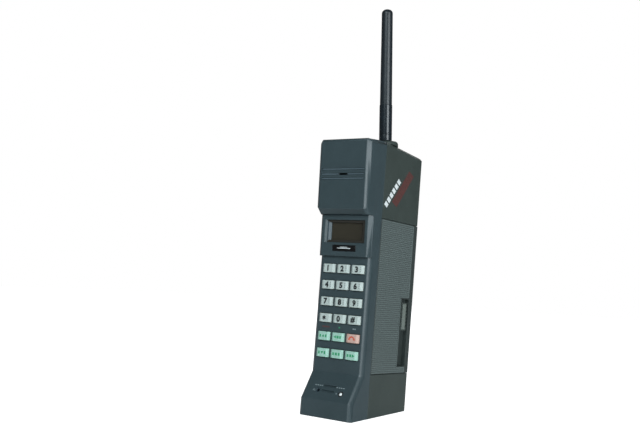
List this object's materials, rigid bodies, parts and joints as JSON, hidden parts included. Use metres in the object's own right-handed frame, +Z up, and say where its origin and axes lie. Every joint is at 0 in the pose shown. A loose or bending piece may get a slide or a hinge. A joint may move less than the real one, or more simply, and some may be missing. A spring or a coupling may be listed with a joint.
{
  "type": "early mobile brick phone",
  "caption": "Early mobile handset with earpiece block, display, sprung keys, slide-off battery pack with side latch, and a screw-in antenna.",
  "frame": {"origin": "middle of the foot's outline, on the surface that the handset stands on", "axes": "+Z up along the handset, +Y towards the battery pack, -Y out of the keypad, +X to the right seen from the keypad"},
  "size_m": [0.043, 0.0842, 0.2903],
  "materials": {
    "front_shell": "moulded, fine matt grain",
    "rear_shell": "moulded, fine matt grain",
    "battery_case": "moulded, dimpled grip",
    "battery_cover": "moulded",
    "latch_slider": "moulded, ribbed",
    "window": "smoked clear moulding",
    "trim": "gloss black",
    "digit_key": "off-white moulded key",
    "mint_key": "pale green moulded key",
    "pink_key": "pale red moulded key",
    "lamp": "translucent white lens",
    "circuit_board": "green solder mask",
    "black_plastic": "black moulded",
    "tinned_metal": "tinned and die-cast parts",
    "steel": "plated steel",
    "brass": "plated brass",
    "cell_wrap": "sleeved cells",
    "rubber": "moulded rubber",
    "antenna_sheath": "satin rubber sheath"
  },
  "bodies": {
    "handset": {"front_shell": "front_shell", "rear_shell": "rear_shell", "display_window": "window", "display_bezel": "trim", "name_plate": "trim", "display_module": "tinned_metal", "keypad_mat": "rubber", "keypad_board": "circuit_board", "chassis": "tinned_metal", "logic_board": "circuit_board", "logic_chips": "black_plastic", "rf_board": "circuit_board", "rf_shield": "tinned_metal", "board_connector": "black_plastic", "duplexer": "tinned_metal", "power_amplifier": "tinned_metal", "earpiece_speaker": "tinned_metal", "earpiece_gasket": "rubber", "microphone": "tinned_metal", "microphone_boot": "rubber", "jack_socket": "black_plastic", "indicator_lamp": "lamp", "buzzer": "black_plastic", "antenna_turret": "rear_shell", "antenna_socket": "brass", "antenna_lead": "black_plastic", "contact_block": "black_plastic", "spring_contacts": "brass", "case_screws": "steel", "accessory_connector": "black_plastic"},
    "battery": {"battery_case": "battery_case", "battery_cover": "battery_cover", "battery_cells": "cell_wrap", "cell_straps": "steel", "battery_terminals": "brass", "latch_spring": "steel"},
    "battery_latch": {"latch_slider": "latch_slider"},
    "antenna": {"antenna_seal": "rubber", "antenna_stud": "brass", "antenna_core": "steel", "antenna_sleeve": "antenna_sheath", "antenna_sheath": "antenna_sheath"},
    "key_1": {"key_1": "digit_key"},
    "key_2": {"key_2": "digit_key"},
    "key_3": {"key_3": "digit_key"},
    "key_4": {"key_4": "digit_key"},
    "key_5": {"key_5": "digit_key"},
    "key_6": {"key_6": "digit_key"},
    "key_7": {"key_7": "digit_key"},
    "key_8": {"key_8": "digit_key"},
    "key_9": {"key_9": "digit_key"},
    "key_star": {"key_star": "digit_key"},
    "key_0": {"key_0": "digit_key"},
    "key_hash": {"key_hash": "digit_key"},
    "key_recall": {"key_recall": "mint_key"},
    "key_clear": {"key_clear": "mint_key"},
    "key_end": {"key_end": "pink_key"},
    "key_store": {"key_store": "mint_key"},
    "key_function": {"key_function": "mint_key"},
    "key_send": {"key_send": "mint_key"}
  },
  "joints": [
    {"name": "battery_slide", "type": "slide", "parent": "handset", "child": "battery", "axis": [0, 0.9989, -0.0471], "range_m": [0, 0.06]},
    {"name": "latch_slide", "type": "slide", "parent": "battery", "child": "battery_latch", "axis": [0, -0.0471, -0.9989], "range_m": [0, 0.006]},
    {"name": "antenna_screw", "type": "hinge", "parent": "handset", "child": "antenna", "pos_m": [0.0115, 0.00273, 0.19549], "axis": [0, -0.068, 0.9977], "range_deg": [0, 2160]},
    {"name": "key_1_press", "type": "slide", "parent": "handset", "child": "key_1", "axis": [0, 0.9989, -0.0471], "range_m": [0, 0.001], "stiffness_N_per_m": 700, "springref_m": -0.0006},
    {"name": "key_2_press", "type": "slide", "parent": "handset", "child": "key_2", "axis": [0, 0.9989, -0.0471], "range_m": [0, 0.001], "stiffness_N_per_m": 700, "springref_m": -0.0006},
    {"name": "key_3_press", "type": "slide", "parent": "handset", "child": "key_3", "axis": [0, 0.9989, -0.0471], "range_m": [0, 0.001], "stiffness_N_per_m": 700, "springref_m": -0.0006},
    {"name": "key_4_press", "type": "slide", "parent": "handset", "child": "key_4", "axis": [0, 0.9989, -0.0471], "range_m": [0, 0.001], "stiffness_N_per_m": 700, "springref_m": -0.0006},
    {"name": "key_5_press", "type": "slide", "parent": "handset", "child": "key_5", "axis": [0, 0.9989, -0.0471], "range_m": [0, 0.001], "stiffness_N_per_m": 700, "springref_m": -0.0006},
    {"name": "key_6_press", "type": "slide", "parent": "handset", "child": "key_6", "axis": [0, 0.9989, -0.0471], "range_m": [0, 0.001], "stiffness_N_per_m": 700, "springref_m": -0.0006},
    {"name": "key_7_press", "type": "slide", "parent": "handset", "child": "key_7", "axis": [0, 0.9989, -0.0471], "range_m": [0, 0.001], "stiffness_N_per_m": 700, "springref_m": -0.0006},
    {"name": "key_8_press", "type": "slide", "parent": "handset", "child": "key_8", "axis": [0, 0.9989, -0.0471], "range_m": [0, 0.001], "stiffness_N_per_m": 700, "springref_m": -0.0006},
    {"name": "key_9_press", "type": "slide", "parent": "handset", "child": "key_9", "axis": [0, 0.9989, -0.0471], "range_m": [0, 0.001], "stiffness_N_per_m": 700, "springref_m": -0.0006},
    {"name": "key_star_press", "type": "slide", "parent": "handset", "child": "key_star", "axis": [0, 0.9989, -0.0471], "range_m": [0, 0.001], "stiffness_N_per_m": 700, "springref_m": -0.0006},
    {"name": "key_0_press", "type": "slide", "parent": "handset", "child": "key_0", "axis": [0, 0.9989, -0.0471], "range_m": [0, 0.001], "stiffness_N_per_m": 700, "springref_m": -0.0006},
    {"name": "key_hash_press", "type": "slide", "parent": "handset", "child": "key_hash", "axis": [0, 0.9989, -0.0471], "range_m": [0, 0.001], "stiffness_N_per_m": 700, "springref_m": -0.0006},
    {"name": "key_recall_press", "type": "slide", "parent": "handset", "child": "key_recall", "axis": [0, 0.9989, -0.0471], "range_m": [0, 0.001], "stiffness_N_per_m": 700, "springref_m": -0.0006},
    {"name": "key_clear_press", "type": "slide", "parent": "handset", "child": "key_clear", "axis": [0, 0.9989, -0.0471], "range_m": [0, 0.001], "stiffness_N_per_m": 700, "springref_m": -0.0006},
    {"name": "key_end_press", "type": "slide", "parent": "handset", "child": "key_end", "axis": [0, 0.9989, -0.0471], "range_m": [0, 0.001], "stiffness_N_per_m": 700, "springref_m": -0.0006},
    {"name": "key_store_press", "type": "slide", "parent": "handset", "child": "key_store", "axis": [0, 0.9989, -0.0471], "range_m": [0, 0.001], "stiffness_N_per_m": 700, "springref_m": -0.0006},
    {"name": "key_function_press", "type": "slide", "parent": "handset", "child": "key_function", "axis": [0, 0.9989, -0.0471], "range_m": [0, 0.001], "stiffness_N_per_m": 700, "springref_m": -0.0006},
    {"name": "key_send_press", "type": "slide", "parent": "handset", "child": "key_send", "axis": [0, 0.9989, -0.0471], "range_m": [0, 0.001], "stiffness_N_per_m": 700, "springref_m": -0.0006}
  ]
}
